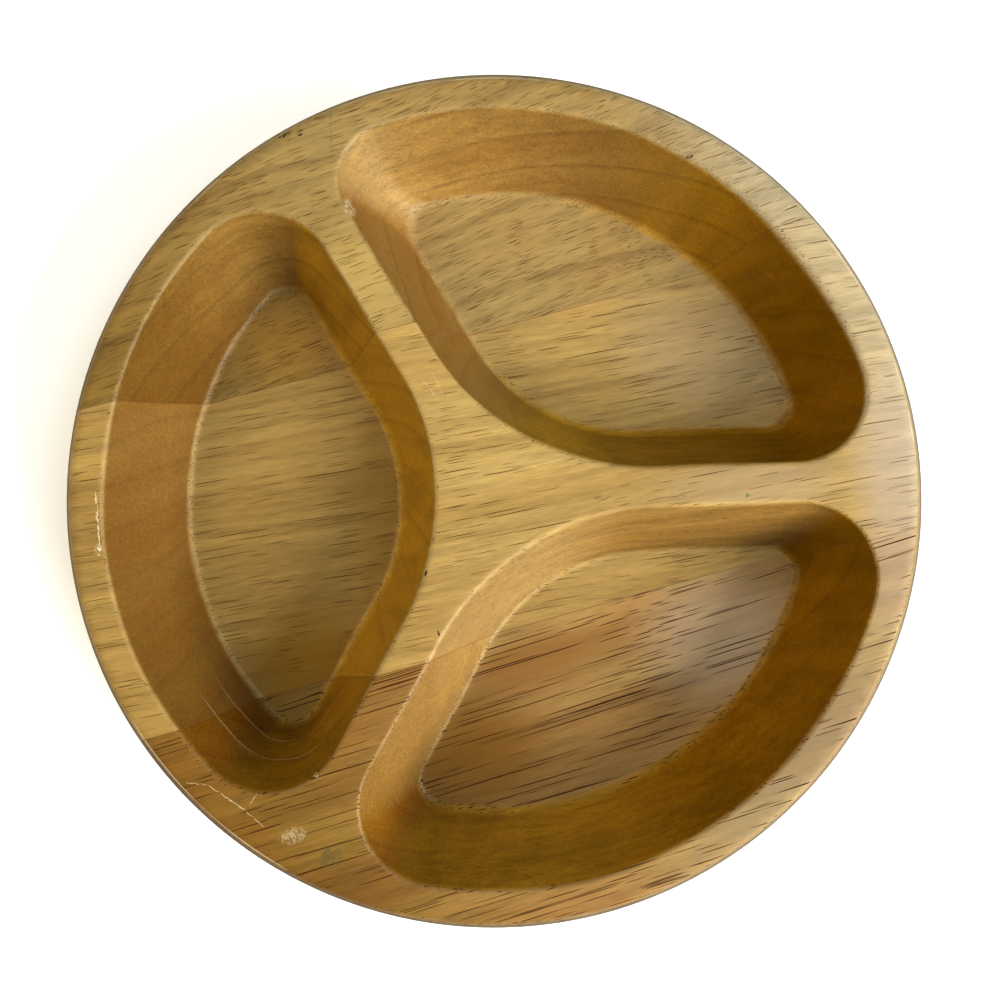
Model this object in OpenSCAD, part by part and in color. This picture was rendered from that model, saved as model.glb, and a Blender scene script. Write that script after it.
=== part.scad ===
// Round wooden serving bowl with three pockets.
// The blank is three boards glued edge to edge, and the pockets are cut across the joints.
// Z is up and the origin is the centre of the resting face.
// X runs along the divider between the two right-hand pockets.

/* [Body] */
// Outside diameter
body_d = 305; // [285:1:330]
// Height from the resting face to the top face
body_h = 52; // [48:1:60]
// Radius of the outside edge at the top
top_edge_r = 3; // [2:0.5:5]
// Radius of the outside edge at the resting face
base_edge_r = 4; // [2:0.5:6]

/* [Pockets] */
// Depth of each pocket below the top face
pocket_depth = 40; // [32:1:42]
// Width of the rim between a pocket and the outside
rim_w = 12; // [11:0.5:18]
// Width of the divider between two pockets, at the top face
divider_w = 11; // [9:0.2:15]
// Distance from the centre to the nearest edge of each pocket
hub_r = 20.5; // [18:0.5:25]
// Corner radius of the pocket floor
floor_corner_r = 10.6; // [9:0.2:15]
// How far the pocket wall leans in between the top face and the floor
wall_run = 17.5; // [12:0.5:19]
// Radius between the pocket wall and the floor
floor_edge_r = 3; // [2:0.5:5]
// Radius of the pocket edge at the top face
lip_r = 2; // [1:0.5:3]

/* [Boards] */
// Direction of the two glued joints, from X
joint_angle = 13.4; // [0:0.2:30]
// Distance from the centre to the upper joint
upper_joint = 66; // [55:1:80]
// Distance from the centre to the lower joint
lower_joint = 51.5; // [45:0.5:65]
// Thickness of the glue in a joint
glue_t = 0.2; // [0.1:0.05:0.4]

/* [Hidden] */
POCKETS = 3;
EDGE_STEPS = 4;
HUB_STEPS = 10;
CORNER_STEPS = 9;
OUTER_STEPS = 20;
$fn = 128;

// how far a cut runs past the face that it goes through
over_share = 0.1;
cut_over = body_h * over_share;
cut_top = body_h + cut_over;

// pocket wall in section: it leans by wall_angle from upright
floor_z = body_h - pocket_depth;
lip_drop = pocket_depth - lip_r;
wall_angle = atan(wall_run / lip_drop) - asin(lip_r / norm([wall_run, lip_drop]));
floor_edge_in = wall_run + floor_edge_r * (1 - sin(wall_angle)) / cos(wall_angle);

// pocket outline at the top face: an outer arc, two corners, two sides and an arc at the hub
half_angle = 180 / POCKETS;
outer_r = body_d / 2 - rim_w;
corner_r = floor_corner_r + wall_run;
corner_to_centre = outer_r - corner_r;
corner_to_divider = divider_w / 2 + corner_r;
corner_angle = half_angle - asin(corner_to_divider / corner_to_centre);
corner_at = polar(corner_to_centre, corner_angle);
side_angle = half_angle + 90;
hub_arc_r = (hub_r * sin(half_angle) - divider_w / 2) / (1 - sin(half_angle));
hub_arc_at = [hub_r + hub_arc_r, 0];

function polar(r, a) = [r * cos(a), r * sin(a)];

function arc(centre, r, from, to, steps) =
    [for (i = [0 : steps]) centre + polar(r, from + (to - from) * i / steps)];

function mirrored(points) = [for (i = [len(points) - 1 : -1 : 0]) [points[i].x, -points[i].y]];

// edge of a pocket at one level, moved in from the top edge
function pocket_outline(inset) =
    let (
        corner = arc(corner_at, corner_r - inset, corner_angle, side_angle, CORNER_STEPS),
        outer = arc([0, 0], outer_r - inset, -corner_angle, corner_angle, OUTER_STEPS),
        hub = arc(hub_arc_at, hub_arc_r - inset, side_angle, 360 - side_angle, HUB_STEPS)
    )
    concat([for (i = [1 : OUTER_STEPS - 1]) outer[i]], corner, hub, mirrored(corner));

// levels of a pocket from the floor up, each with its inset and height
function pocket_levels() = concat(
    arc([floor_edge_in, floor_z + floor_edge_r], floor_edge_r, 270, 180 + wall_angle, EDGE_STEPS),
    arc([0, body_h - lip_r], lip_r, wall_angle, 90, EDGE_STEPS),
    [[0, cut_top]]
);

function body_section() = concat(
    [[0, 0]],
    arc([body_d / 2 - base_edge_r, base_edge_r], base_edge_r, -90, 0, EDGE_STEPS),
    arc([body_d / 2 - top_edge_r, body_h - top_edge_r], top_edge_r, 0, 90, EDGE_STEPS),
    [[0, body_h]]
);

// solid between outlines of equal length that lie one above the other
module stacked(rings) {
    n = len(rings[0]);
    last = len(rings) - 1;
    polyhedron(
        points = [for (ring = rings) each ring],
        faces = concat(
            [[for (i = [0 : n - 1]) i]],
            [[for (i = [n - 1 : -1 : 0]) last * n + i]],
            [for (k = [0 : last - 1], i = [0 : n - 1])
                [k * n + i, (k + 1) * n + i, (k + 1) * n + (i + 1) % n, k * n + (i + 1) % n]]
        )
    );
}

module pocket() {
    stacked([for (level = pocket_levels()) [for (p = pocket_outline(level.x)) [p.x, p.y, level.y]]]);
}

module carved_blank() {
    difference() {
        rotate_extrude() polygon(body_section());
        for (i = [1 : POCKETS])
            rotate((2 * i - 1) * half_angle) pocket();
    }
}

// part of the carved blank between two lines that run along the joints
module strip(from, to) {
    intersection() {
        carved_blank();
        rotate(joint_angle)
            translate([-body_d, from, -cut_over])
                cube([2 * body_d, to - from, cut_top + cut_over]);
    }
}

module board_upper() {
    color([0.80, 0.65, 0.43]) strip(upper_joint + glue_t / 2, body_d);
}

module board_middle() {
    color([0.83, 0.69, 0.44]) strip(glue_t / 2 - lower_joint, upper_joint - glue_t / 2);
}

module board_lower() {
    color([0.76, 0.59, 0.36]) strip(-body_d, -lower_joint - glue_t / 2);
}

module glue_line_upper() {
    color([0.52, 0.38, 0.20]) strip(upper_joint - glue_t / 2, upper_joint + glue_t / 2);
}

module glue_line_lower() {
    color([0.52, 0.38, 0.20]) strip(-lower_joint - glue_t / 2, glue_t / 2 - lower_joint);
}

board_upper();
board_middle();
board_lower();
glue_line_upper();
glue_line_lower();
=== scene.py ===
"""Looks of the divided serving bowl: finely carved boards of oiled wood, seen as in the photograph."""
import math
from types import SimpleNamespace

import bmesh
import bpy
import numpy as np
from mathutils import Euler, Matrix, Vector, geometry, noise


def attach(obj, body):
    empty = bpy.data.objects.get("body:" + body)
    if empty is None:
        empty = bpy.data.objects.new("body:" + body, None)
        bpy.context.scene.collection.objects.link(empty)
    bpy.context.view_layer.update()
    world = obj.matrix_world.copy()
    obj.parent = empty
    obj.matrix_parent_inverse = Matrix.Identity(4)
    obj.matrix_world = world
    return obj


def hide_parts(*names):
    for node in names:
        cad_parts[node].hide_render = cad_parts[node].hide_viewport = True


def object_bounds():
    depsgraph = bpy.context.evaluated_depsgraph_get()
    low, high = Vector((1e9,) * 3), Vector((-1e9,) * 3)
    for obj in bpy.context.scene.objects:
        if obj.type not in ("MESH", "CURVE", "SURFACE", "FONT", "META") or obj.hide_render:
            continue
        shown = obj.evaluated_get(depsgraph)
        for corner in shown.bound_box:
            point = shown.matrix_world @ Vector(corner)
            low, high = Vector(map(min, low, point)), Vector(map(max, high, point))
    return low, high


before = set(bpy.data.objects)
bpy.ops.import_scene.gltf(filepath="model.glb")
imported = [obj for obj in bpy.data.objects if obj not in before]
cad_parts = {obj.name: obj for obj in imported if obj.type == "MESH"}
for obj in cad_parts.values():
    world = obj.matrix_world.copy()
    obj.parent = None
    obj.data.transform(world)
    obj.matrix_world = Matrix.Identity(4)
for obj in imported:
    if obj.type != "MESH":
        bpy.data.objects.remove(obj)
cad_low, cad_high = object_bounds()

MM = 0.001

# Body, from the frame
BODY_R = min(-cad_low.x, cad_high.x, -cad_low.y, cad_high.y)
BODY_H = cad_high.z

# Edges and pockets, as the solids have them
TOP_EDGE_R = 3 * MM
BASE_EDGE_R = 4 * MM
POCKETS = 3
POCKET_DEPTH = 40 * MM
RIM_W = 12 * MM
DIVIDER_W = 11 * MM
HUB_R = 20.5 * MM
FLOOR_CORNER_R = 10.6 * MM
WALL_RUN = 17.5 * MM
FLOOR_EDGE_R = 3 * MM
LIP_R = 2 * MM

# Glued joints
JOINT_ANGLE = math.radians(13.4)
UPPER_JOINT = 66 * MM
LOWER_JOINT = 51.5 * MM
GLUE_T = 0.2 * MM

# Hand finish: how much edges, walls and flats stray from the exact shape
TIGHT_CORNER_R = 22 * MM
LIP_STRAY = 0.9 * MM
FOOT_STRAY = 1.6 * MM
WALL_STRAY = 0.3 * MM
FLAT_STRAY = 0.1 * MM
CHAMFER_SHARE = 0.75

# Broader edges, each with its centre, its spread and how much its radius grows
BROAD_LIPS = (
    (Vector((5 * MM, -28 * MM)), 34 * MM, 1.8 * MM),
    (Vector((106 * MM, 72 * MM)), 42 * MM, 2.6 * MM),
)
BROAD_FOOT = (Vector((-41 * MM, 128 * MM)), 30 * MM, 1.5 * MM)
ROUNDED_FOOT_POINTS = 40
ROUNDED_FOOT_SHARE = 2.2

# Faint steps that the cutter left low on the walls
RIDGE_HEIGHT = 0.2 * MM
RIDGE_W = 0.7 * MM
RIDGE_LEVELS = (23 * MM, 34 * MM)
RIDGE_WANDER = 2.5 * MM
CUTTER_MARKS_AT = Vector((-92 * MM, -90 * MM))
CUTTER_MARKS_SPREAD = 34 * MM

# Mesh spacing
EDGE_STEP = 0.9 * MM
WALL_STEP = 1.1 * MM
FACE_STEP = 2.6 * MM
BASE_STEP = 9 * MM
SIDE_STEP = 1.6 * MM
ROUND_STEPS = 7

HALF_ANGLE = math.pi / POCKETS
SIDE_ANGLE = HALF_ANGLE + math.pi / 2
OUTER_R = BODY_R - RIM_W
CORNER_R = FLOOR_CORNER_R + WALL_RUN
FLOOR_Z = BODY_H - POCKET_DEPTH


def polar(radius, angle):
    return Vector((radius * math.cos(angle), radius * math.sin(angle)))


def swept(centre, radius, start, end, step):
    """Points along an arc, each with the direction that points out of the pocket there."""
    count = max(2, round(radius * abs(end - start) / step))
    angles = [start + (end - start) * i / count for i in range(count + 1)]
    return [(centre + polar(radius, a), a) for a in angles]


def joined(arcs, step):
    """One closed line through the arcs, with straight stretches between them where they don't meet."""
    line = []
    for arc, following in zip(arcs, arcs[1:] + arcs[:1]):
        line += arc
        (start, angle), end = arc[-1], following[0][0]
        gap = (end - start).length
        if gap < step / 4:
            line.pop()
            continue
        count = max(1, round(gap / step))
        line += [(start.lerp(end, i / count), angle) for i in range(1, count)]
    return line


def pocket_edge(first_r, second_r):
    """The pocket's edge at the top face, about +X: outer arc, corner, side, hub arc, side and corner."""
    first_to, second_to = OUTER_R - first_r, OUTER_R - second_r
    first_angle = HALF_ANGLE - math.asin((DIVIDER_W / 2 + first_r) / first_to)
    second_angle = HALF_ANGLE - math.asin((DIVIDER_W / 2 + second_r) / second_to)
    hub_arc_r = (HUB_R * math.sin(HALF_ANGLE) - DIVIDER_W / 2) / (1 - math.sin(HALF_ANGLE))
    hub_arc_at = Vector((HUB_R + hub_arc_r, 0))
    back = 2 * math.pi - SIDE_ANGLE
    arcs = [
        swept(Vector((0, 0)), OUTER_R, -second_angle, first_angle, EDGE_STEP),
        swept(polar(first_to, first_angle), first_r, first_angle, SIDE_ANGLE, EDGE_STEP),
        swept(hub_arc_at, hub_arc_r, SIDE_ANGLE, back, EDGE_STEP),
        swept(polar(second_to, -second_angle), second_r, back, 2 * math.pi - second_angle, EDGE_STEP),
    ]
    return joined(arcs, EDGE_STEP)


def quarter(centre, radius, start, end):
    """Points of a rounded edge in section."""
    turn = (end - start) / ROUND_STEPS
    return [centre + polar(radius, start + turn * i) for i in range(ROUND_STEPS + 1)]


def flattened(curve):
    """The curve drawn most of the way to its chord, as an edge that was planed and then eased."""
    last = len(curve) - 1
    return [p.lerp(curve[0].lerp(curve[-1], i / last), CHAMFER_SHARE) for i, p in enumerate(curve)]


def pocket_section(lip_r, foot_r):
    """How far in and how high the pocket's surface is, from the top face down to the floor."""
    lip_drop = POCKET_DEPTH - lip_r
    lean = math.atan(WALL_RUN / lip_drop) - math.asin(lip_r / math.hypot(WALL_RUN, lip_drop))
    foot_in = WALL_RUN + foot_r * (1 - math.sin(lean)) / math.cos(lean)
    lip = quarter(Vector((0, BODY_H - lip_r)), lip_r, math.pi / 2, lean)
    foot = quarter(Vector((foot_in, FLOOR_Z + foot_r)), foot_r, math.pi + lean, math.pi * 1.5)
    count = round(POCKET_DEPTH / WALL_STEP)
    wall = [lip[-1].lerp(foot[0], i / count) for i in range(1, count)]
    return lip + wall + foot


def stray(x, y, z, size, seed):
    """Smooth chance from -1 to 1 that changes over the given length."""
    return noise.noise(Vector((x, y, z)) / size + Vector((seed, 0, 0)))


def nearby(p, centre, spread):
    """1 at the centre, falling smoothly to 0 well beyond the spread."""
    return math.exp(-(p - centre).length_squared / spread ** 2)


def wall_stray(p, z):
    """How far the hand-sanded wall lies in from its exact place, with faint steps left by the cutter."""
    soft = WALL_STRAY * stray(p.x, p.y, z, 22 * MM, 3.1)
    clear = nearby(p, CUTTER_MARKS_AT, CUTTER_MARKS_SPREAD)
    for i, level in enumerate(RIDGE_LEVELS):
        wander = level + RIDGE_WANDER * stray(p.x, p.y, 0, 60 * MM, 5.3 + i)
        strength = max(0, 0.1 + clear + stray(p.x, p.y, 0, 40 * MM, 8.7 + i))
        soft += RIDGE_HEIGHT * strength * math.exp(-((z - wander) / RIDGE_W) ** 2)
    return soft


def ring(mesh, points, z):
    return [mesh.verts.new((p.x, p.y, z)) for p in points]


def bridge(mesh, one, other):
    """Faces between two closed loops of as many vertices."""
    for i in range(len(one)):
        j = (i + 1) % len(one)
        mesh.faces.new((one[i], one[j], other[j], other[i]))


def inside(points, starts, ends):
    """Which points lie inside an odd number of the closed lines made of these edges."""
    x, y = points.T
    odd = np.zeros(len(points), bool)
    for (x0, y0), (x1, y1) in zip(starts, ends):
        if y0 != y1:
            crossing = (y0 > y) != (y1 > y)
            odd ^= crossing & (x < x0 + (y - y0) * (x1 - x0) / (y1 - y0))
    return odd


def fill(mesh, loops, step):
    """Even triangles over the flat face between closed loops of vertices."""
    rims = [v for loop in loops for v in loop]
    z = rims[0].co.z
    edges, starts, ends = [], [], []
    first = 0
    for loop in loops:
        for i, v in enumerate(loop):
            j = (i + 1) % len(loop)
            edges.append((first + i, first + j))
            starts.append(v.co.xy[:])
            ends.append(loop[j].co.xy[:])
        first += len(loop)
    starts, ends = np.array(starts), np.array(ends)
    low, high = starts.min(0), starts.max(0)
    row = step * math.sqrt(3) / 2
    xs, ys = np.meshgrid(np.arange(low[0], high[0], step), np.arange(low[1], high[1], row))
    xs[1::2] += step / 2
    grid = np.stack([xs.ravel(), ys.ravel()], 1)
    grid = grid[inside(grid, starts, ends)]
    clear = [np.min(np.hypot(*(starts - p).T)) > step * 0.6 for p in grid]
    grid = grid[clear]
    flat = [v.co.xy for v in rims] + [Vector(p) for p in grid]
    made, _, faces, origins, _, _ = geometry.delaunay_2d_cdt(flat, edges, [], 0, 1e-9)
    verts = list(rims) + [mesh.verts.new((p[0], p[1], z)) for p in grid]
    centres = np.array([np.mean([made[i][:] for i in f], axis=0) for f in faces])
    for face, keep in zip(faces, inside(centres, starts, ends)):
        if keep:
            mesh.faces.new([verts[origins[i][0]] for i in face])


def rounded_foot(line):
    """One level of a pocket, eased at the broad foot towards the middle of the line on either side."""
    count = len(line)
    centre, spread, _ = BROAD_FOOT
    lengths = [(line[(i + 1) % count] - line[i - 1]).length for i in range(count)]
    eased = []
    for i, at in enumerate(line):
        depth = (BODY_H - at.z) / POCKET_DEPTH
        share = depth ** 4 * min(1, ROUNDED_FOOT_SHARE * nearby(at.xy, centre, spread))
        if share > 0.001:
            near = [(i + k) % count for k in range(-ROUNDED_FOOT_POINTS, ROUNDED_FOOT_POINTS + 1)]
            middle = sum((line[k].xy * lengths[k] for k in near), Vector((0, 0)))
            middle /= sum(lengths[k] for k in near)
            at = Vector((*at.xy.lerp(middle, share), at.z))
        eased.append(at)
    return eased


def turned(edge, angle):
    """A pocket's edge turned to its place about the centre."""
    turn = Matrix.Rotation(angle, 2)
    return [(turn @ p, a + angle) for p, a in edge]


def outside(mesh):
    """The resting face, the side and both rounded edges. Returns the circle where the top face begins."""
    around = round(2 * math.pi * BODY_R / SIDE_STEP)
    base_at = Vector((BODY_R - BASE_EDGE_R, BASE_EDGE_R))
    top_at = Vector((BODY_R - TOP_EDGE_R, BODY_H - TOP_EDGE_R))
    base = quarter(base_at, BASE_EDGE_R, -math.pi / 2, 0)
    top = flattened(quarter(top_at, TOP_EDGE_R, 0, math.pi / 2))
    count = round((top[0] - base[-1]).length / (2 * SIDE_STEP))
    side = [base[-1].lerp(top[0], i / count) for i in range(1, count)]
    circles = []
    for radius, z in base + side + top:
        circle = [polar(radius, 2 * math.pi * i / around) for i in range(around)]
        circles.append(ring(mesh, circle, z))
    for lower, upper in zip(circles, circles[1:]):
        bridge(mesh, lower, upper)
    fill(mesh, [circles[0]], BASE_STEP)
    return circles[-1]


def lip_radius(p):
    lip_r = LIP_R + LIP_STRAY * (0.4 + stray(p.x, p.y, 0, 45 * MM, 1.7))
    return lip_r + sum(more * nearby(p, at, spread) for at, spread, more in BROAD_LIPS)


def foot_radius(p, angle):
    """Radius between wall and floor, broader where the wall faces the lower right."""
    at, spread, more = BROAD_FOOT
    foot_r = FLOOR_EDGE_R + more * nearby(p, at, spread)
    facing = 0.8 * math.cos(angle + math.pi / 4)
    return foot_r + FOOT_STRAY * (1 + facing + stray(p.x, p.y, 0, 30 * MM, 2.9))


def pocket_levels(edge):
    """Lines around one pocket, from its edge at the top face down to its floor."""
    sections = [pocket_section(lip_radius(p), foot_radius(p, a)) for p, a in edge]
    levels = []
    for k in range(len(sections[0])):
        line = []
        for (p, a), section in zip(edge, sections):
            inset, z = section[k]
            at = p - polar(inset + wall_stray(p, z) * min(1, inset / (4 * MM)), a)
            line.append(Vector((*at, z)))
        levels.append(rounded_foot(line))
    return levels


def carved_blank():
    """The whole bowl as one closed surface, before it is parted at the joints."""
    mesh = bmesh.new()
    top_circle = outside(mesh)
    mouths = []
    for i in range(POCKETS):
        first_r = TIGHT_CORNER_R if i == 0 else CORNER_R
        edge = turned(pocket_edge(first_r, CORNER_R), (2 * i + 1) * HALF_ANGLE)
        levels = [[mesh.verts.new(at) for at in line] for line in pocket_levels(edge)]
        for upper, lower in zip(levels, levels[1:]):
            bridge(mesh, upper, lower)
        fill(mesh, [levels[-1]], FACE_STEP)
        mouths.append(levels[0])
    fill(mesh, [top_circle] + mouths, FACE_STEP)
    for v in mesh.verts:
        if v.co.z > BASE_EDGE_R:
            v.co.z -= FLAT_STRAY * (1 + stray(*v.co, 25 * MM, 4.1)) / 2
    bmesh.ops.recalc_face_normals(mesh, faces=mesh.faces)
    for face in mesh.faces:
        face.smooth = True
    return mesh


def parted(whole, name, low, high):
    """The piece of the blank that lies between two lines along the joints."""
    part = whole.copy()
    across = Vector((-math.sin(JOINT_ANGLE), math.cos(JOINT_ANGLE), 0))
    for distance, outward in ((low, -across), (high, across)):
        if distance is None:
            continue
        everything = part.verts[:] + part.edges[:] + part.faces[:]
        cut = bmesh.ops.bisect_plane(part, geom=everything, dist=1e-8, plane_co=across * distance,
                                     plane_no=outward, clear_outer=True)
        rim = [e for e in cut["geom_cut"] if isinstance(e, bmesh.types.BMEdge)]
        bmesh.ops.holes_fill(part, edges=rim, sides=0)
        for e in rim:
            e.smooth = False
    data = bpy.data.meshes.new(name)
    part.to_mesh(data)
    part.free()
    piece = bpy.data.objects.new(name, data)
    bpy.context.scene.collection.objects.link(piece)
    return piece


class Shader:
    """Adds nodes to a new material. A socket or a plain value feeds any input."""

    def __init__(self, name):
        self.material = bpy.data.materials.new(name)
        self.material.use_nodes = True
        self.tree = self.material.node_tree
        self.surface = self.tree.nodes["Principled BSDF"]

    def feed(self, socket, value):
        if isinstance(value, bpy.types.NodeSocket):
            self.tree.links.new(value, socket)
        else:
            socket.default_value = value

    def add(self, kind, inputs, output=0, **settings):
        node = self.tree.nodes.new("ShaderNode" + kind)
        for key, value in settings.items():
            setattr(node, key, value)
        for key, value in inputs.items():
            self.feed(node.inputs[key], value)
        return node.outputs[output]

    def math(self, operation, *values):
        return self.add("Math", dict(enumerate(values)), operation=operation)

    def scaled(self, vector, amount):
        return self.add("VectorMath", {0: vector, "Scale": amount}, operation="SCALE")

    def vector(self, operation, *values, output=0):
        return self.add("VectorMath", dict(enumerate(values)), output=output, operation=operation)

    def along(self, vector, direction):
        """How far the vector reaches in a direction."""
        return self.vector("DOT_PRODUCT", vector, direction, output=1)

    def part(self, vector, axis):
        return self.add("SeparateXYZ", {0: vector}, output=axis)

    def ease(self, value, low, high, to_low=0.0, to_high=1.0):
        """A smooth step from to_low at low to to_high at high."""
        return self.add("MapRange", {"Value": value, 1: low, 2: high, 3: to_low, 4: to_high},
                        interpolation_type="SMOOTHSTEP")

    def mix(self, factor, one, other, blend="MIX"):
        return self.add("Mix", {0: factor, 6: one, 7: other}, output=2, data_type="RGBA", blend_type=blend)

    def noise(self, vector, detail=2.0, roughness=0.5, output=0):
        inputs = {"Vector": vector, "Scale": 1.0, "Detail": detail, "Roughness": roughness}
        return self.add("TexNoise", inputs, output=output)

    def stretched(self, vector, scales, detail=2.0, roughness=0.5):
        """Noise with its own number of features per metre in each direction."""
        return self.noise(self.vector("MULTIPLY", vector, scales), detail, roughness)


def colour(red, green, blue):
    return (red, green, blue, 1.0)


def marked(s, place, tone, marks, core=0.55, cover=1.0):
    """Patches of another tint, each with its place, half sizes, turn, tint, strength and how finely it is
    broken up: stains and scuffs, soft changes in the wood itself, and painted shade, sheen and reflections."""
    for at, size, turn, tint, strength, fineness in marks:
        inputs = {"Vector": place, "Location": at, "Rotation": (0, 0, turn), "Scale": (*size, MARK_DEPTH)}
        local = s.add("Mapping", inputs, vector_type="TEXTURE")
        near = s.ease(s.vector("LENGTH", local, output=1), 1.0, core)
        broken = s.noise(s.scaled(place, fineness), detail=3.0, roughness=0.7)
        share = s.math("MULTIPLY", near, s.ease(broken, 0.42, 0.58, 0.0, strength))
        tone = s.mix(s.math("MULTIPLY", share, cover), tone, tint)
    return tone


def cutter_step_highlights(s, place, height, tone):
    """Faint pale lines low on the wall at the end of one pocket, along the steps that the cutter left:
    painted highlight where the steps catch the light.
    """
    spread = CUTTER_MARKS_SPREAD
    away = s.vector("SUBTRACT", s.vector("MULTIPLY", place, (1, 1, 0)), (*CUTTER_MARKS_AT, 0))
    near = s.ease(s.vector("LENGTH", away, output=1), spread, spread / 2, 0.0, 0.28)
    wander = s.math("MULTIPLY", s.math("SUBTRACT", s.noise(s.scaled(place, 30.0)), 0.5), 8 * MM)
    for level in RIDGE_LEVELS:
        off = s.math("ABSOLUTE", s.math("ADD", s.math("SUBTRACT", height, level), wander))
        line = s.ease(off, 0.35 * MM, 0.1 * MM)
        # Painted highlight along each step
        tone = s.mix(s.math("MULTIPLY", near, line), tone, PALE_SCRATCH_AND_HIGHLIGHT)
    return tone


def scratched(s, place, tone, scratches):
    """Thin pale scratches, each with its start, end, width, tint and strength, on the upper face."""
    wobble = s.noise(s.scaled(place, 500.0), detail=2.0)
    for start, end, width, tint, strength in scratches:
        run = Vector(end) - Vector(start)
        turn = math.atan2(run.y, run.x)
        inputs = {"Vector": place, "Location": (*start, BODY_H), "Rotation": (0, 0, turn),
                  "Scale": (run.length, width, MARK_DEPTH)}
        local = s.add("Mapping", inputs, vector_type="TEXTURE")
        x, y, z = (s.part(local, i) for i in range(3))
        y = s.math("ADD", y, s.math("MULTIPLY", s.math("SUBTRACT", wobble, 0.5), 7.0))
        along = s.ease(s.math("ABSOLUTE", s.math("SUBTRACT", x, 0.5)), 0.5, 0.4)
        across = s.ease(s.math("ABSOLUTE", y), 1.0, 0.3)
        near = s.ease(s.math("ABSOLUTE", z), 1.0, 0.9)
        mask = s.math("MULTIPLY", s.math("MULTIPLY", along, across), s.math("MULTIPLY", near, strength))
        tone = s.mix(s.math("MULTIPLY", mask, s.ease(wobble, 0.35, 0.5)), tone, tint)
    return tone


def grain_of(s, place, look):
    """The place measured along and across the board's grain, which is gently bent."""
    inputs = {"Vector": place, "Location": look["shift"], "Rotation": (0, 0, -look["grain"])}
    straight = s.add("Mapping", inputs, vector_type="POINT")
    grain = straight
    for scale, reach in ((8.0, look["waviness"]), (55.0, look["wobble"])):
        bend = s.noise(s.vector("MULTIPLY", straight, (scale, scale, scale)), detail=1.0, output=1)
        bend = s.vector("MULTIPLY", s.vector("SUBTRACT", bend, (0.5, 0.5, 0.5)), (0.0, reach, reach))
        grain = s.vector("ADD", grain, bend)
    return grain


def faces_of(s, place, look):
    """Which way the surface faces: masks for walls, flats, end grain, shade, light and the left side."""
    normal = s.add("NewGeometry", {}, output="Normal")
    grain_way = (math.cos(look["grain"]), math.sin(look["grain"]), 0)
    upright = s.math("ABSOLUTE", s.part(normal, 2))
    height = s.part(place, 2)
    steep = s.ease(upright, 0.9, 0.4)
    foot = s.math("MULTIPLY", s.ease(height, 32 * MM, 24 * MM), s.ease(upright, 0.995, 0.88))
    lightward = s.along(normal, TO_LIGHT)
    left = s.ease(s.part(place, 0), -60 * MM, -100 * MM)
    return SimpleNamespace(
        height=height,
        lightward=lightward,
        steep=steep,
        walls=s.math("MAXIMUM", steep, foot),
        flat=s.ease(upright, 0.9, 0.99),
        end=s.math("MULTIPLY", s.ease(s.math("ABSOLUTE", s.along(normal, grain_way)), 0.2, 0.9), steep),
        shaded=s.ease(lightward, 0.25, -0.15),
        lit=s.ease(lightward, 0.55, 0.85),
        left=s.math("MULTIPLY", left, steep),
    )


def rings_of(s, grain, look):
    """Growth rings about a heart that lies outside the board: broad bands, and a fine line in each ring."""
    away = s.vector("SUBTRACT", grain, (0, *look["heart"]))
    away = s.vector("LENGTH", s.vector("MULTIPLY", away, (0, 1, 1)), output=1)
    slow = s.stretched(grain, (6.0, 9.0, 9.0))
    rings = s.math("ADD", s.math("DIVIDE", away, look["ring"]), s.math("MULTIPLY", slow, 1.5))
    spread = s.add("CombineXYZ", {0: rings, 1: s.math("MULTIPLY", slow, 2.0), 2: 0.0})
    band = s.ease(s.noise(spread, detail=2.0), 0.32, 0.68)
    phase = s.math("FRACT", rings)
    line = s.math("MULTIPLY", s.ease(phase, 0.8, 0.97), s.ease(phase, 1.0, 0.975))
    return band, line


def vessels_of(s, grain, look):
    """Open vessels: slender hollows in crowds, seen as dashes along the grain and as dots at end grain."""
    crowd = s.stretched(grain, (14.0, 120.0, 120.0), detail=2.0)
    crowd = s.math("MULTIPLY", s.math("SUBTRACT", crowd, 0.5), look["crowding"])
    found = None
    for length, spacing, half_w, share in look["vessels"]:
        node = s.tree.nodes.new("ShaderNodeTexVoronoi")
        s.feed(node.inputs["Vector"], s.vector("MULTIPLY", grain, (1 / length, 1 / spacing, 1 / spacing)))
        s.feed(node.inputs["Scale"], 1.0)
        radius = half_w / spacing
        chance = s.add("SeparateColor", {0: node.outputs["Color"]})
        luck = s.add("SeparateColor", {0: node.outputs["Color"]}, output=1)
        depth = s.ease(node.outputs["Distance"], radius, radius * 0.65)
        chosen = s.ease(s.math("ADD", chance, crowd), 1.0 - share - 0.05, 1.0 - share + 0.05)
        weight = s.ease(luck, 0.0, 1.0, look["faintest"], 1.0)
        depth = s.math("MULTIPLY", s.math("MULTIPLY", depth, chosen), weight)
        found = depth if found is None else s.math("MAXIMUM", found, depth)
    return found


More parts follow.
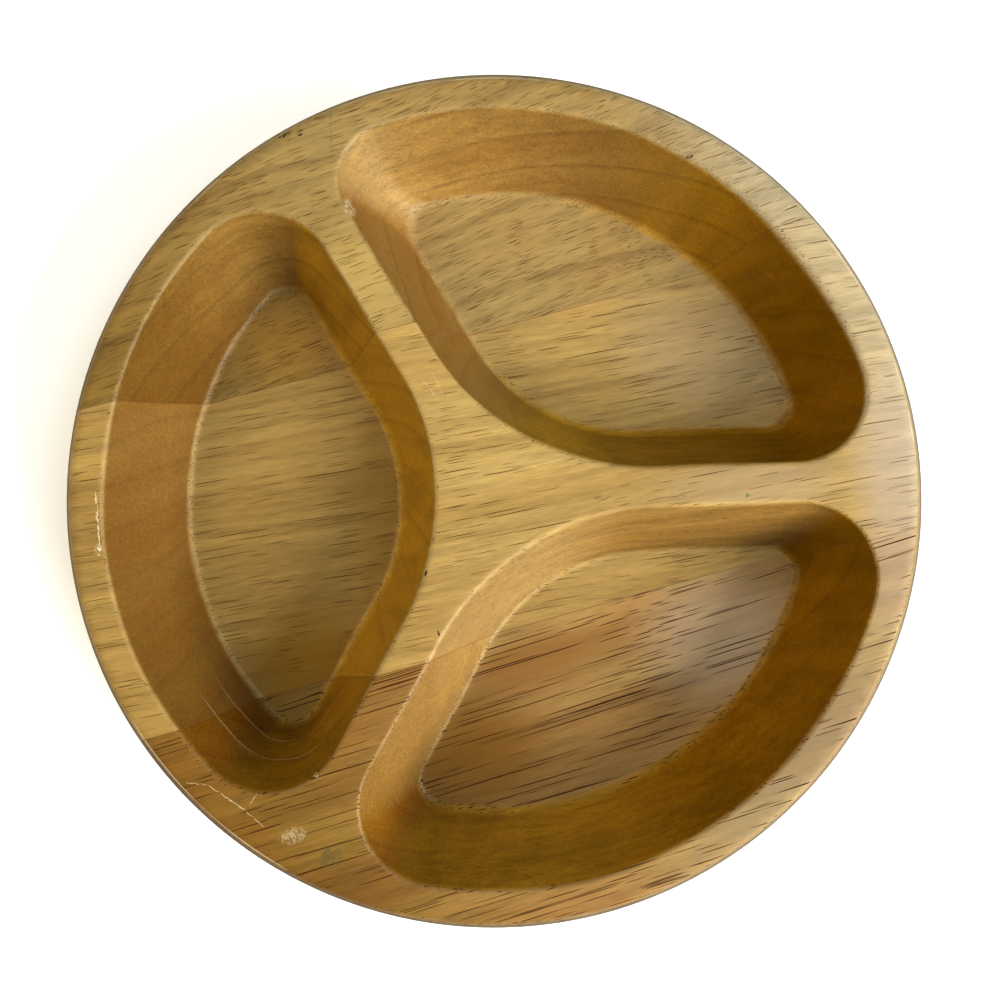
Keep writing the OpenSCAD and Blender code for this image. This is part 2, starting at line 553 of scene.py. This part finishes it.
def board_tone(s, place, grain, patch, faces, look):
    """The board's colours: rings and blotches on the flats, the walls in light, and painted shade on walls
    that face away from the light.
    """
    band, line = rings_of(s, grain, look)
    wall = s.mix(band, look["wall_pale"], look["wall_deep"])
    end = s.mix(band, look["end_pale"], look["end_deep"])
    tone = s.mix(s.math("MULTIPLY", band, look["banding"]), look["pale"], look["deep"])
    tone = s.mix(s.ease(patch, 0.35, 0.7, 0.0, 0.7), tone, look["warm"])
    tone = s.mix(s.math("MULTIPLY", faces.steep, 0.9), tone, wall)
    tone = s.mix(faces.end, tone, end)
    flame = s.stretched(grain, (45.0, 110.0, 18.0), detail=2.0)
    flame = s.math("ADD", flame, s.math("MULTIPLY", band, 0.3))
    # Painted shade: walls and feet that face away from the light turn darker and more saturated, more so
    # towards the right
    far = s.ease(s.along(place, (0.98, -0.2, 0)), 20 * MM, 105 * MM)
    dim = s.mix(far, look["shade_near"], look["shade_far"])
    dim = s.scaled(dim, s.ease(flame, 0.45, 0.95, 1.1, 0.88))
    tone = s.mix(s.math("MULTIPLY", faces.shaded, faces.walls), tone, dim)
    return s.mix(s.math("MULTIPLY", line, look["ring_line"]), tone, look["vessel"])


def honey_and_painted_light(s, place, faces, look, tone):
    """A honey tint that deepens towards the left, painted light on walls that face the light, and painted
    sheen on the flats at the right.
    """
    honey = s.ease(s.along(place, (-0.93, -0.37, 0)), -20 * MM, 130 * MM, 0.0, look["honey"])
    honey = s.math("MULTIPLY", honey, s.ease(faces.left, 0.0, 1.0, 1.0, 1.35))
    # Painted light: walls that face the light turn paler, less so on the left
    painted_wall_light = s.math("MULTIPLY", faces.lit, faces.steep)
    painted_wall_light = s.math("MULTIPLY", painted_wall_light, s.ease(faces.left, 0.0, 1.0, 0.38, 0.07))
    # Painted sheen: the flats turn pale towards the right
    pale = s.ease(s.along(place, (0.86, 0.5, 0)), 100 * MM, 150 * MM, 0.0, 0.55)
    pale = s.math("MULTIPLY", pale, s.math("SUBTRACT", 1.0, faces.steep))
    tone = s.mix(painted_wall_light, tone, LIT_WALL_PAINT)
    tone = s.mix(honey, tone, HONEY, blend="MULTIPLY")
    return s.mix(pale, tone, SHEEN_PAINT)


def edge_wear_and_shade(s, place, patch, faces, tone):
    """The bowl's top edge: painted shade where it faces the light, dark at its foot, pale in places at its
    crest.
    """
    start = BODY_R - TOP_EDGE_R
    level = BODY_H - TOP_EDGE_R
    from_centre = s.vector("LENGTH", s.vector("MULTIPLY", place, (1, 1, 0)), output=1)
    upper = s.ease(faces.height, level - 0.8 * MM, level)
    # Painted shade on the part of the edge that faces the light
    edge_shade_mask = s.math("MULTIPLY", s.ease(from_centre, start, start + 0.5 * MM), upper)
    edge_shade_mask = s.math("MULTIPLY", edge_shade_mask, s.ease(faces.lightward, 0.2, 0.6, 0.0, 0.6))
    dark = s.math("MULTIPLY", s.ease(from_centre, BODY_R - 1.7 * MM, BODY_R - 1.2 * MM), upper)
    crest = s.math("MULTIPLY", s.ease(from_centre, start - 0.2 * MM, start + 0.2 * MM),
                   s.ease(from_centre, start + 0.8 * MM, start + 0.4 * MM))
    tone = s.mix(edge_shade_mask, tone, EDGE_SHADE_PAINT)
    tone = s.mix(s.math("MULTIPLY", dark, 0.72), tone, EDGE_DARK)
    return s.mix(s.math("MULTIPLY", crest, s.ease(patch, 0.5, 0.65, 0.0, 0.7)), tone, PALE_SCRATCH_AND_HIGHLIGHT)


def surface_of(s, faces, fibre, speck, vessels):
    """Sheen and relief: the flats are duller than the lips, and the vessels are dull and sunk."""
    roughness = s.ease(fibre, 0.2, 0.8, 0.40, 0.54)
    roughness = s.math("ADD", roughness, s.math("MULTIPLY", faces.flat, 0.2))
    s.feed(s.surface.inputs["Roughness"], roughness)
    gloss = s.ease(vessels, 0.0, 1.0, 0.42, 0.08)
    for mask, least in ((faces.steep, 0.65), (s.math("MULTIPLY", faces.shaded, faces.steep), 0.15),
                        (faces.flat, 0.5)):
        gloss = s.math("MULTIPLY", gloss, s.ease(mask, 0.0, 1.0, 1.0, least))
    s.feed(s.surface.inputs["Specular IOR Level"], gloss)
    relief = s.math("SUBTRACT", s.math("MULTIPLY", fibre, 0.3), vessels)
    relief = s.math("ADD", relief, s.math("MULTIPLY", speck, 0.25))
    bump = s.add("Bump", {"Strength": 0.5, "Distance": 0.15 * MM, "Height": relief})
    s.feed(s.surface.inputs["Normal"], bump)


def wood(name, look):
    """Oiled wood: rings, fibres and open vessels run along one direction through the whole board."""
    s = Shader(name)
    place = s.add("TexCoord", {}, output="Object")
    grain = grain_of(s, place, look)
    faces = faces_of(s, place, look)
    fibre = s.stretched(grain, (140.0, 1500.0, 1500.0), detail=3.0, roughness=0.65)
    streak = s.stretched(grain, (24.0, 300.0, 300.0), detail=3.0)
    patch = s.stretched(place, (26.0, 26.0, 26.0), detail=3.0)
    speck = s.stretched(place, (900.0, 900.0, 900.0), detail=2.0)
    vessels = vessels_of(s, grain, look)

    tone = board_tone(s, place, grain, patch, faces, look)
    tone = honey_and_painted_light(s, place, faces, look, tone)
    streaks = s.math("MULTIPLY", s.ease(streak, 0.3, 0.7, -0.1, 0.09), s.ease(faces.end, 0.0, 1.0, 1.0, 0.3))
    specks = s.math("MULTIPLY", s.ease(speck, 0.3, 0.7, -0.06, 0.06), faces.steep)
    shade = s.math("ADD", s.ease(fibre, 0.25, 0.75, 0.88, 1.09), streaks)
    tone = s.scaled(tone, s.math("ADD", shade, specks))
    # Bands on the flats: changes of tint in the wood, and painted shade, sheen and reflections
    tone = marked(s, place, tone, look["bands"], core=0.2, cover=faces.flat)

    on_walls = s.ease(faces.shaded, 0.0, 1.0, 0.4, 0.15)
    dark = s.math("MULTIPLY", vessels, s.ease(faces.steep, 0.0, 1.0, look["contrast"], on_walls))
    tone = s.mix(dark, tone, look["vessel"])
    tone = edge_wear_and_shade(s, place, patch, faces, tone)
    tone = cutter_step_highlights(s, place, faces.height, tone)
    tone = marked(s, place, tone, look["marks"])
    tone = scratched(s, place, tone, look["scratches"])
    s.feed(s.surface.inputs["Base Color"], tone)
    surface_of(s, faces, fibre, speck, vessels)
    return s.material


def glue():
    """Cured glue in a joint, a little darker than the wood."""
    s = Shader("glue")
    place = s.add("TexCoord", {}, output="Object")
    patch = s.stretched(place, (60.0, 60.0, 60.0))
    tone = s.mix(patch, colour(0.15, 0.08, 0.02), colour(0.24, 0.13, 0.04))
    s.feed(s.surface.inputs["Base Color"], tone)
    s.feed(s.surface.inputs["Roughness"], s.ease(patch, 0.2, 0.8, 0.3, 0.5))
    return s.material


# Marks reach this far above and below their place
MARK_DEPTH = 9 * MM
# Level direction from which the walls are lit
TO_LIGHT = (0.85, -0.53, 0)

# Pale for scuffs, scratches and worn crests, and for the painted highlights on the cutter's steps
PALE_SCRATCH_AND_HIGHLIGHT = colour(0.62, 0.55, 0.40)
DARK_STAIN = colour(0.06, 0.04, 0.02)
# Painted light for walls that face the light
LIT_WALL_PAINT = colour(0.46, 0.36, 0.19)
HONEY = colour(0.60, 0.53, 0.29)
# Painted sheen for the flats at the right
SHEEN_PAINT = colour(0.50, 0.44, 0.33)
# Painted shade for the part of the top edge that faces the light
EDGE_SHADE_PAINT = colour(0.20, 0.15, 0.075)
EDGE_DARK = colour(0.095, 0.072, 0.038)


def mm(x, y):
    return (x * MM, y * MM)


def top(x, y):
    """A place on the top face, in millimetres."""
    return (x * MM, y * MM, BODY_H)


def sunk(x, y):
    """A place on a pocket's floor, in millimetres."""
    return (x * MM, y * MM, FLOOR_Z)


# In each look, shift and heart are in metres, vessels hold length, spacing, half width and share,
# and bands are soft patches on the flats: changes of tint in the wood, painted shade, painted sheen and
# painted reflections
UPPER_LOOK = {
    "grain": math.radians(21),
    "shift": (0.3, 0.1, 0.2),
    "waviness": 10 * MM,
    "wobble": 0.9 * MM,
    "heart": (0.02, -0.12),
    "ring": 17 * MM,
    "banding": 0.3,
    "ring_line": 0.22,
    "honey": 0.9,
    "pale": colour(0.368, 0.271, 0.114),
    "deep": colour(0.295, 0.193, 0.075),
    "warm": colour(0.356, 0.235, 0.093),
    "wall_pale": colour(0.40, 0.265, 0.085),
    "wall_deep": colour(0.31, 0.18, 0.045),
    "end_pale": colour(0.310, 0.190, 0.056),
    "end_deep": colour(0.280, 0.156, 0.038),
    "shade_near": colour(0.440, 0.272, 0.034),
    "shade_far": colour(0.285, 0.150, 0.004),
    "vessel": colour(0.115, 0.052, 0.014),
    "contrast": 0.9,
    "crowding": 1.5,
    "vessels": ((13 * MM, 0.42 * MM, 0.125 * MM, 0.62), (22 * MM, 0.7 * MM, 0.17 * MM, 0.62)),
    "faintest": 0.65,
    "bands": (
        # Painted shade on the left pocket's floor at its upper end
        (sunk(-82, 66), mm(32, 30), 0.0, colour(0.40, 0.220, 0.035), 1.0, 0.0),
        (top(-46, 78), mm(30, 28), 0.0, colour(0.50, 0.365, 0.135), 1.1, 0.0),
    ),
    "marks": (
        (top(-67, 131), mm(1.7, 1.2), 0.5, DARK_STAIN, 1.6, 600.0),
        (top(-72.4, 130.3), mm(3.0, 0.9), 0.45, DARK_STAIN, 1.2, 900.0),
        (top(-49.6, 107), mm(3.2, 8.0), 0.0, PALE_SCRATCH_AND_HIGHLIGHT, 0.9, 700.0),
        (top(73, 119), mm(1.5, 0.8), 0.4, DARK_STAIN, 1.2, 900.0),
    ),
    "scratches": ((mm(-56.1, 141), mm(-55.8, 121), 0.25 * MM, colour(0.16, 0.17, 0.09), 0.6),),
}
MIDDLE_LOOK = {
    **UPPER_LOOK,
    "grain": math.radians(9),
    "shift": (-0.2, 0.4, 0.1),
    "waviness": 7 * MM,
    "wobble": 0.5 * MM,
    "heart": (-0.10, -0.10),
    "ring": 16 * MM,
    "banding": 0.7,
    "ring_line": 0.12,
    "honey": 0.35,
    "end_pale": colour(0.290, 0.172, 0.046),
    "end_deep": colour(0.265, 0.143, 0.032),
    "pale": colour(0.448, 0.322, 0.128),
    "deep": colour(0.338, 0.218, 0.072),
    "warm": colour(0.420, 0.284, 0.102),
    "contrast": 0.9,
    "crowding": 1.6,
    "vessels": ((26 * MM, 0.5 * MM, 0.13 * MM, 0.42), (60 * MM, 0.8 * MM, 0.2 * MM, 0.55)),
    "bands": (
        # Painted shade on the left pocket's floor, at its lower end and beside the hub
        (sunk(-72, -68), mm(46, 40), 0.0, colour(0.27, 0.142, 0.006), 1.6, 0.0),
        (sunk(-46, -5), mm(23, 58), 0.0, colour(0.26, 0.155, 0.020), 0.9, 0.0),
        # Painted sheen on the right divider and the right rim, and a painted reflection on the upper
        # pocket's floor at the right
        (top(92, 0), mm(48, 18), 0.0, colour(0.34, 0.254, 0.178), 0.9, 0.0),
        (top(143, 0), mm(22, 62), 0.0, colour(0.445, 0.370, 0.315), 0.9, 0.0),
        (sunk(80, 55), mm(50, 34), -0.5, colour(0.42, 0.330, 0.220), 0.9, 0.0),
    ),
    "marks": (
        (top(-21.3, 2.1), mm(0.7, 1.3), 0.2, DARK_STAIN, 2.4, 60.0),
        (top(-22.1, -49.3), mm(0.5, 1.2), 0.3, DARK_STAIN, 2.4, 60.0),
        (top(-26.0, -28.2), mm(0.5, 1.2), -0.3, DARK_STAIN, 2.4, 60.0),
        (top(88.9, -4.4), mm(1.6, 1.0), 0.0, colour(0.16, 0.18, 0.08), 0.9, 800.0),
        (top(-140.2, -16.4), mm(1.5, 2.5), 0.0, PALE_SCRATCH_AND_HIGHLIGHT, 0.9, 900.0),
    ),
    "scratches": (
        (mm(-26, 41), mm(-19.5, 32.5), 0.2 * MM, PALE_SCRATCH_AND_HIGHLIGHT, 0.4),
        (mm(-22, 43), mm(-18, 34), 0.2 * MM, PALE_SCRATCH_AND_HIGHLIGHT, 0.3),
        (mm(12, 8), mm(24, 11), 0.2 * MM, PALE_SCRATCH_AND_HIGHLIGHT, 0.5),
        (mm(-141, 4.5), mm(-139.6, -15.5), 0.35 * MM, PALE_SCRATCH_AND_HIGHLIGHT, 0.8),
    ),
}
LOWER_LOOK = {
    **UPPER_LOOK,
    "grain": math.radians(15.5),
    "shift": (0.1, -0.3, 0.3),
    "waviness": 5 * MM,
    "wobble": 0.35 * MM,
    "heart": (0.10, -0.14),
    "ring": 18 * MM,
    "banding": 0.7,
    "ring_line": 0.1,
    "honey": 1.0,
    "pale": colour(0.435, 0.308, 0.124),
    "deep": colour(0.290, 0.150, 0.048),
    "warm": colour(0.389, 0.229, 0.084),
    "wall_pale": colour(0.42, 0.30, 0.125),
    "wall_deep": colour(0.34, 0.22, 0.08),
    "vessel": colour(0.055, 0.017, 0.004),
    "contrast": 1.0,
    "crowding": 1.0,
    "end_pale": colour(0.375, 0.205, 0.030),
    "end_deep": colour(0.330, 0.160, 0.020),
    "vessels": ((90 * MM, 0.75 * MM, 0.19 * MM, 0.9), (180 * MM, 1.05 * MM, 0.25 * MM, 0.9)),
    "faintest": 0.7,
    "bands": (
        (sunk(2, -68), mm(86, 14), 0.27, colour(0.30, 0.16, 0.045), 0.8, 9.0),
        (sunk(-14, -98), mm(40, 30), 0.0, colour(0.243, 0.115, 0.012), 1.3, 0.0),
        # Painted reflection on the lower pocket's floor at the right, and painted sheen on the right rim
        (sunk(86, -58), mm(44, 36), 0.0, colour(0.56, 0.460, 0.360), 0.9, 0.0),
        (top(141, -28), mm(24, 52), 0.2, colour(0.410, 0.325, 0.255), 0.9, 0.0),
        # Painted shade on the lower right rim
        (top(108, -100), mm(96, 38), 0.83, colour(0.283, 0.228, 0.143), 1.2, 0.0),
    ),
    "marks": (
        (top(-74.1, -117.3), mm(5.6, 3.6), 0.2, PALE_SCRATCH_AND_HIGHLIGHT, 0.42, 1300.0),
        (top(-61.5, -124.9), mm(5.4, 4.0), 0.3, colour(0.12, 0.11, 0.045), 0.65, 420.0),
        (top(-66, -97), mm(1.2, 1.2), 0.0, PALE_SCRATCH_AND_HIGHLIGHT, 0.6, 900.0),
    ),
    "scratches": (
        (mm(-111, -97.9), mm(-103.4, -98.8), 0.22 * MM, PALE_SCRATCH_AND_HIGHLIGHT, 0.6),
        (mm(-103.6, -98.6), mm(-89.8, -108.4), 0.22 * MM, PALE_SCRATCH_AND_HIGHLIGHT, 0.6),
        (mm(-90.2, -108.2), mm(-83.8, -114.2), 0.22 * MM, PALE_SCRATCH_AND_HIGHLIGHT, 0.45),
        (mm(-86.4, -102.4), mm(-88.6, -106.2), 0.2 * MM, PALE_SCRATCH_AND_HIGHLIGHT, 0.5),
    ),
}

whole = carved_blank()
UPPER_START = UPPER_JOINT + GLUE_T / 2
MIDDLE_END = UPPER_JOINT - GLUE_T / 2
MIDDLE_START = GLUE_T / 2 - LOWER_JOINT
LOWER_END = -LOWER_JOINT - GLUE_T / 2
PIECES = (
    ("board_upper_carved", "board_upper", "board_upper", wood("wood_upper", UPPER_LOOK), UPPER_START, None),
    ("board_middle_carved", "board_middle", "board_middle", wood("wood_middle", MIDDLE_LOOK),
     MIDDLE_START, MIDDLE_END),
    ("board_lower_carved", "board_lower", "board_lower", wood("wood_lower", LOWER_LOOK), None, LOWER_END),
    ("glue_upper_film", "glue_line_upper", "glue", glue(), MIDDLE_END, UPPER_START),
    ("glue_lower_film", "glue_line_lower", "glue", glue(), LOWER_END, MIDDLE_START),
)
for name, node, slot, material, low, high in PIECES:
    piece = parted(whole, name, low, high)
    piece.data.materials.append(material)
    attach(piece, "root")
    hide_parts(node)
whole.free()


def softbox(name, azimuth, elevation, distance, size, power, tint):
    """A broad even light that faces the bowl. Azimuth is from +X towards +Y."""
    data = bpy.data.lights.new(name, "AREA")
    data.shape = "RECTANGLE"
    data.size, data.size_y = size
    data.energy = power
    data.color = tint
    lamp = bpy.data.objects.new(name, data)
    level = distance * math.cos(elevation)
    lamp.location = (*polar(level, azimuth), distance * math.sin(elevation))
    lamp.rotation_euler = (-lamp.location).to_track_quat("-Z", "Y").to_euler()
    lamp.visible_camera = False
    bpy.context.scene.collection.objects.link(lamp)


def floor():
    """A plain pale floor, a hair above the resting face, so that this face shows from below."""
    size = 4.0
    z = 0.02 * MM
    data = bpy.data.meshes.new("floor")
    corners = [(-size, -size, z), (size, -size, z), (size, size, z), (-size, size, z)]
    data.from_pydata(corners, [], [(0, 1, 2, 3)])
    plane = bpy.data.objects.new("floor", data)
    bpy.context.scene.collection.objects.link(plane)
    s = Shader("floor")
    s.surface.inputs["Base Color"].default_value = colour(0.88, 0.88, 0.87)
    s.surface.inputs["Roughness"].default_value = 0.8
    s.surface.inputs["Emission Color"].default_value = colour(1.0, 1.0, 1.0)
    s.surface.inputs["Emission Strength"].default_value = 0.2
    data.materials.append(s.material)


CAMERA_AT = (8.3 * MM, -19.5 * MM, 372.4 * MM)
CAMERA_TILT = (math.radians(2.78), math.radians(-0.97), math.radians(-1.75))
FRAME_PX = 1000
FOCAL_PX = 907
CENTRE_PX = (537.9, 501.4)


def camera():
    data = bpy.data.cameras.new("camera")
    data.sensor_width = 36
    data.lens = data.sensor_width * FOCAL_PX / FRAME_PX
    data.shift_x = (FRAME_PX / 2 - CENTRE_PX[0]) / FRAME_PX
    data.shift_y = (CENTRE_PX[1] - FRAME_PX / 2) / FRAME_PX
    data.clip_start = 0.01
    eye = bpy.data.objects.new("camera", data)
    eye.location = CAMERA_AT
    eye.rotation_mode = "YXZ"
    eye.rotation_euler = Euler(CAMERA_TILT, "YXZ")
    bpy.context.scene.collection.objects.link(eye)
    bpy.context.scene.camera = eye


floor()
camera()
softbox("key_light", math.radians(-32), math.radians(31), 1.8, (1.5, 0.9), 62, (1.0, 0.98, 0.95))
softbox("fill_light", math.radians(165), math.radians(42), 0.9, (0.6, 0.6), 5.6, (1.0, 0.88, 0.66))
softbox("sky_light", math.radians(4), math.radians(66), 1.5, (0.7, 0.7), 12, (0.66, 0.83, 1.0))
world = bpy.data.worlds.new("studio")
world.use_nodes = True
world.node_tree.nodes["Background"].inputs["Color"].default_value = colour(1.0, 0.98, 0.95)
world.node_tree.nodes["Background"].inputs["Strength"].default_value = 0.06
bpy.context.scene.world = world
bpy.context.scene.view_settings.view_transform = "Standard"
bpy.context.scene.view_settings.gamma = 0.75
